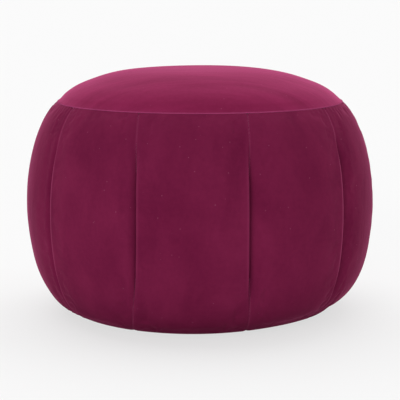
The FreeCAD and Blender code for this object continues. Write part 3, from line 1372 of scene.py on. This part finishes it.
    def build(self) -> list[Object]:
        """Builds the panels and the pads behind them.

        Returns:
            The new pieces.
        """
        plans = [self.plan(number) for number in range(len(self.pleats))]
        faces = [self.face(plan) for plan in plans]
        faces = self.settle.run(faces, [self.hold(face) for face in faces])
        made = []
        for plan, face in zip(plans, faces):
            grid = self.unevenness(plan, face)
            made += [self.panel(plan, grid), self.pad(plan, grid)]
        return made

    def panel(self, plan: PanelPlan, grid: Array) -> Object:
        """One velvet side panel.

        Args:
            plan: where the panel lies.
            grid: its outer face.

        Returns:
            The panel, a closed shell as thick as the velvet.
        """
        inner = grid - grid_normals(grid) * self.outline.velvet
        piece = shell(f"velvet_side_{plan.name}", grid, inner)
        self.shelf.dress(piece, Finish.VELVET, f"side_panel_{plan.name}")
        mark_painted_sheen(piece, self.painted_sheen(plan))
        return piece

    def pad(self, plan: PanelPlan, grid: Array) -> Object:
        """The fibre pad behind one panel.

        Args:
            plan: where the panel lies.
            grid: the panel's outer face.

        Returns:
            The pad, which fills the space from the velvet to the foam.
        """
        form, shy = self.outline, self.pad_shy_columns
        lowest = int(np.argmax(plan.angle > math.radians(self.pad_lowest)))
        rows = slice(lowest, len(plan.angle) - self.pad_shy_rows)
        # The pad stops short of the pleats, so that none of it shows between two panels.
        outer = (grid - grid_normals(grid) * form.skin)[rows, shy:-shy]
        radius, height = plan.rows.sunk(form.skin + form.padding)
        inner = cylindrical(radius[rows], np.unwrap(azimuths(outer), axis=1), height[rows])
        piece = shell(f"fibre_pad_{plan.name}", outer, inner)
        self.shelf.dress(piece, Finish.WADDING, f"channel_pad_{plan.name}")
        return piece


def mark_painted_sheen(piece: Object, amount: Array) -> None:
    """Marks on a shell how strongly its painted sheen highlight is drawn.

    Args:
        piece: a shell of two grids.
        amount: one value from 0 to 1 for each point of a grid.
    """
    marks = piece.data.attributes.new("painted_sheen", "FLOAT", "POINT")
    values = np.zeros(len(piece.data.vertices))
    values[: amount.size] = amount.reshape(-1)
    marks.data.foreach_set("value", values)


@dataclass
class SeatTop:
    """The domed velvet seat panel, its piping, the fibre layer and the seat foam."""

    outline: Outline
    shelf: FinishShelf
    pucker: Pucker = Pucker(11 * MM, 0.2 * MM, 10 * MM, 60 * MM, 4.4)
    lumps: tuple[Lumps, ...] = (Lumps(160 * MM, 0.9 * MM, 2.2), Lumps(50 * MM, 0.12 * MM, 8.1))
    fullness: tuple[Fullness, ...] = (
        Fullness(0.89, 0.10, 2.4 * MM),
        Fullness(0.55, 0.20, 0.7 * MM, -90.0, 60.0),
        Fullness(0.55, 0.20, -0.7 * MM, 90.0, 60.0),
    )
    lumpy_inside: float = 0.06
    rings: int = 64
    around: int = 300
    innermost: float = 0.015
    seam_gap: float = 1.2 * MM
    board_top: float = 339.4 * MM
    foam_ease: float = 1.6 * MM
    foam_shares: tuple[float, float, int] = (0.985, 0.02, 40)
    foam_side_steps: int = 200
    foam_side_every: int = 6
    foam_corner: float = 1 * MM
    foam_columns: int = 96
    piping_radius: float = 1.1 * MM
    piping_sink: float = 0.2 * MM
    piping_columns: int = 480
    piping_sides: int = 14

    def dome(self, edge: float, inset: float) -> Array:
        """The seat's face, or a layer under it.

        Args:
            edge: the share of the seam's radius at which it stops.
            inset: how far it lies under the velvet's face.

        Returns:
            Its points, from the edge to the middle.
        """
        seam = self.outline.seam_radius
        share = edge * np.sin(np.linspace(math.pi / 2, self.innermost, self.rings))[:, None]
        crown, azimuth = self.outline.crown(share), all_round(self.around)
        face = cylindrical(crown.radius, azimuth, crown.height)
        free = smooth_step((1 - share) / self.lumpy_inside)
        swell = sum(lumps.at(face) for lumps in self.lumps) * free
        for place in self.fullness:
            swell = swell + place.at(azimuth, share) * free
        swell = swell + self.pucker.at(face, azimuth * seam, (1 - share) * seam)
        radius, height = crown.sunk(inset - swell)
        return cylindrical(radius, azimuth, height)

    def layer(self, name: str, gap: float, outer: float, inner: float) -> Object:
        """A closed domed layer between two insets, which stops a gap away from the seam."""
        edge = self.outline.share_inside_seam(gap)
        return round_sheet(name, self.dome(edge, outer), self.dome(edge, inner))

    def build(self) -> list[Object]:
        """Builds the seat's pieces.

        Returns:
            The new pieces.
        """
        form = self.outline
        panel = self.layer("velvet_seat", self.seam_gap, 0.0, form.velvet)
        self.shelf.dress(panel, Finish.SEAT_VELVET, "top_panel")
        wadding = self.layer("fibre_layer", form.padding / 2, form.skin, form.skin + form.padding)
        self.shelf.dress(wadding, Finish.WADDING, "top_wadding")
        foam = soft_solid("seat_foam_block", self.foam_outline(), self.foam_columns)
        self.shelf.dress(foam, Finish.FOAM, "seat_foam")
        piping = self.piping()
        self.shelf.dress(piping, Finish.PIPING_VELVET, "seam_piping")
        return [panel, wadding, foam, piping]

    def foam_outline(self) -> list[tuple[float, float]]:
        """The outline of the seat foam, from the board up to the dome.

        Returns:
            Radius and height of each corner, counter-clockwise.
        """
        form = self.outline
        depth = form.foam_inset + self.foam_ease
        dome = list(zip(*form.crown(np.linspace(*self.foam_shares)).sunk(depth)))
        side = zip(*form.side(np.linspace(0.0, form.seam_angle, self.foam_side_steps)).sunk(depth))
        side = [(r, z) for r, z in side if self.board_top < z < dome[0][1]]
        rim = side[0][0]
        return [
            (0.0, self.board_top),
            (rim / 2, self.board_top),
            (rim - self.foam_corner, self.board_top),
            (rim, self.board_top + self.foam_corner),
            *side[2 :: self.foam_side_every],
            *dome,
            (0.0, dome[-1][1]),
        ]

    def piping(self) -> Object:
        """The fine cord in the seam, covered in the same velvet.

        Returns:
            A closed ring.
        """
        form = self.outline
        azimuth, turn = all_round(self.piping_columns), all_round(self.piping_sides)[:, None]
        path = cylindrical(form.seam_radius, azimuth, form.seam_height)
        thick = self.piping_radius * (1 + 0.05 * wander(path, 12 * MM, 1.7))
        radius = form.seam_radius - self.piping_sink + thick * np.cos(turn)
        height = form.seam_height - self.piping_sink + thick * np.sin(turn)
        return turned("velvet_piping", cylindrical(radius, azimuth, height))


@dataclass
class SideFoam:
    """The barrel of foam round the drum."""

    outline: Outline
    shelf: FinishShelf
    bore: float = 218.75 * MM
    foot: float = 28 * MM
    top: float = 339.25 * MM
    thinnest: float = 1 * MM
    steps: int = 400
    every: int = 8
    around: int = 120
    rough: float = 0.0012

    def build(self) -> Object:
        """Builds the foam barrel.

        Returns:
            The new piece.
        """
        form = self.outline
        angle = np.linspace(-math.pi / 2, form.seam_angle, self.steps)
        face = zip(*form.side(angle).sunk(form.foam_inset))
        narrowest = self.bore + self.thinnest
        face = [(r, z) for r, z in face if self.foot < z < self.top and r > narrowest]
        outline = [(self.bore, face[0][1]), *face[:: self.every], face[-1], (self.bore, self.top)]
        piece = soft_solid("side_foam_barrel", outline, self.around, self.rough)
        self.shelf.dress(piece, Finish.FOAM, "side_foam")
        return piece


@dataclass
class DustCover:
    """The black cloth stapled under the base."""

    outline: Outline
    shelf: FinishShelf
    radius: float = 202 * MM
    hem: float = 180 * MM
    dish: float = 175.4 * MM
    rim_top: float = 5.4 * MM
    board_underside: float = 8 * MM
    thickness: float = 0.5 * MM
    step: float = 1 * MM
    flat_margin: float = 6 * MM
    innermost: float = 2 * MM
    edge_rings: int = 5
    flat_rings: int = 26
    around: int = 240
    slack: float = 0.35 * MM
    waves: int = 20

    def build(self) -> Object:
        """Builds the cloth: flat against the board, stepping down over the velvet's hem.

        Returns:
            The new piece.
        """
        rim = np.linspace(self.radius, self.hem + self.step, self.edge_rings)
        slope = np.linspace(self.hem, self.dish, self.edge_rings)
        flat = np.linspace(self.dish - self.flat_margin, self.innermost, self.flat_rings)
        radius, azimuth = np.concatenate([rim, slope, flat])[:, None], all_round(self.around)
        fall = smooth_step((radius - self.dish) / (self.hem - self.dish))
        height = self.board_underside + (self.rim_top - self.board_underside) * fall
        top = cylindrical(radius, azimuth, height)
        sag = (1 + wander(top, 28 * MM, 6.3)) * (1 - fall)
        ripple = 1 + np.sin(azimuth * self.waves + 2 * wander(top, 50 * MM, 1.1))
        top[..., 2] -= self.slack * (sag + ripple * fall * (1 - fall) * 2)
        piece = round_sheet("dust_cloth", top, top - np.array([0.0, 0.0, self.thickness]))
        self.shelf.dress(piece, Finish.DUST_CLOTH, "dust_cover")
        return piece


@dataclass
class Drum:
    """The wooden drum, its fixings and its glides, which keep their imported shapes."""

    nodes: dict[str, Object]
    shelf: FinishShelf
    finishes: dict[str, Finish] = field(
        default_factory=lambda: {
            "base_board": Finish.PLYWOOD,
            "seat_board": Finish.PLYWOOD,
            "post": Finish.PINE,
            "frame_liner": Finish.HARDBOARD,
            "base_board_screws": Finish.SCREW,
            "seat_board_screws": Finish.SCREW,
            "glide_screws": Finish.SCREW,
            "liner_staples": Finish.STAPLE,
            "cover_staples": Finish.STAPLE,
            "dust_cover_staples": Finish.STAPLE,
            "glide": Finish.NYLON,
        }
    )

    def dress(self) -> list[Object]:
        """Gives each carried-over node the finish that goes with its name, without its number.

        Returns:
            The dressed nodes.
        """
        dressed = []
        for name, node in self.nodes.items():
            finish = self.finishes.get(name.rstrip("_0123456789"))
            if finish:
                self.shelf.put_on(node, finish)
                dressed.append(node)
        return dressed


# Studio


def stand_round(
    data: Camera | Light, azimuth: float, elevation: float, distance: float = 0.0, aim: float = 0.0
) -> Object:
    """Stands a lamp or a camera somewhere round the tuffet, turned towards it.

    Args:
        data: the lamp or the camera.
        azimuth: where it stands, in degrees.
        elevation: how high it stands, in degrees.
        distance: how far away it stands.
        aim: the height that it looks at.

    Returns:
        The new object, with the same name.
    """
    around, up = math.radians(azimuth), math.radians(elevation)
    way = Vector((math.sin(around) * math.cos(up), -math.cos(around) * math.cos(up), math.sin(up)))
    piece = bpy.data.objects.new(data.name, data)
    piece.location = Vector((0.0, 0.0, aim)) + way * distance
    piece.rotation_euler = way.to_track_quat("Z", "Y").to_euler()
    bpy.context.scene.collection.objects.link(piece)
    return piece


@dataclass(frozen=True)
class Softbox:
    """A very wide soft light a long way off."""

    name: str
    strength: float
    azimuth: float
    elevation: float
    spread: float

    def build(self) -> Object:
        """Builds the light.

        Returns:
            The lamp, turned towards the tuffet.
        """
        lamp = bpy.data.lights.new(self.name, "SUN")
        lamp.energy = self.strength
        lamp.angle = math.radians(self.spread)
        return stand_round(lamp, self.azimuth, self.elevation)


@dataclass
class Studio:
    """A pale paper floor, even soft light and the camera."""

    paper: str = "#F6F6F6"
    floor_side: float = 160.0
    glow_share: float = 0.75
    glow_strength: float = 0.97
    dome_strength: float = 0.36
    lamps: tuple[Softbox, ...] = (
        Softbox("studio_front", 1.1, -28.0, 11.0, 34.0),
        Softbox("studio_top", 2.45, 196.0, 62.0, 70.0),
        Softbox("studio_side", 0.8, 114.0, 36.0, 60.0),
    )
    camera_distance: float = 2.44
    camera_elevation: float = 9.0
    aim_height: float = 0.193
    lens: float = 122.5
    sensor: float = 36.0

    def build(self) -> None:
        """Sets up the floor, the light, the camera and the view."""
        self.floor()
        self.dome_light()
        for lamp in self.lamps:
            lamp.build()
        self.camera()
        bpy.context.scene.view_settings.view_transform = "Standard"

    def floor(self) -> None:
        """A level sheet of matt paper that keeps the tuffet's shadow."""
        half = self.floor_side / 2
        corners = np.array([(-half, -half, 0), (half, -half, 0), (half, half, 0), (-half, half, 0)])
        ground = mesh_object("studio_floor", corners, [(0, 1, 2, 3)])
        bench = SurfaceBench("matt_paper", self.paper)
        share = bench.add("Math", {0: bench.seen(), 1: self.glow_share}, operation="MULTIPLY")
        matt = bench.add("BsdfDiffuse", {"Color": self.paper})
        glow = bench.add("Emission", {"Color": self.paper, "Strength": self.glow_strength})
        bench.add("OutputMaterial", {"Surface": bench.add("MixShader", {0: share, 1: matt, 2: glow})})
        ground.data.materials.append(bench.owner)

    def dome_light(self) -> None:
        """Even light from all round, seen by the camera as the paper's colour."""
        world = bpy.data.worlds.new("studio_world")
        bpy.context.scene.world = world
        bench = NodeBench(world)
        light = bench.add("Background", {"Color": "#FFFFFF", "Strength": self.dome_strength})
        shown = bench.add("Background", {"Color": self.paper})
        mixed = bench.add("MixShader", {0: bench.seen(), 1: light, 2: shown})
        bench.add("OutputWorld", {"Surface": mixed})

    def camera(self) -> None:
        """The camera at the photograph's angle and distance."""
        lens = bpy.data.cameras.new("studio_camera")
        lens.lens = self.lens
        lens.sensor_width = self.sensor
        camera = stand_round(lens, 0.0, self.camera_elevation, self.camera_distance, self.aim_height)
        bpy.context.scene.camera = camera


# Main


def report(pieces: Iterable[Object]) -> None:
    """Logs each piece with its number of faces."""
    for piece in pieces:
        LOG.info("%s: %d faces", piece.name, len(piece.data.polygons))


def main() -> None:
    """Builds the tuffet's pieces in order, then the studio."""
    logging.basicConfig(level=logging.INFO, format="%(message)s")
    shelf = FinishShelf()
    shelf.stock()
    outline = Outline()
    report(Drum(frame["nodes"], shelf).dress())
    report([SideFoam(outline, shelf).build()])
    report(SideCover(outline, shelf).build())
    report(SeatTop(outline, shelf).build())
    report([DustCover(outline, shelf).build()])
    Studio().build()


if __name__ == "__main__":
    main()
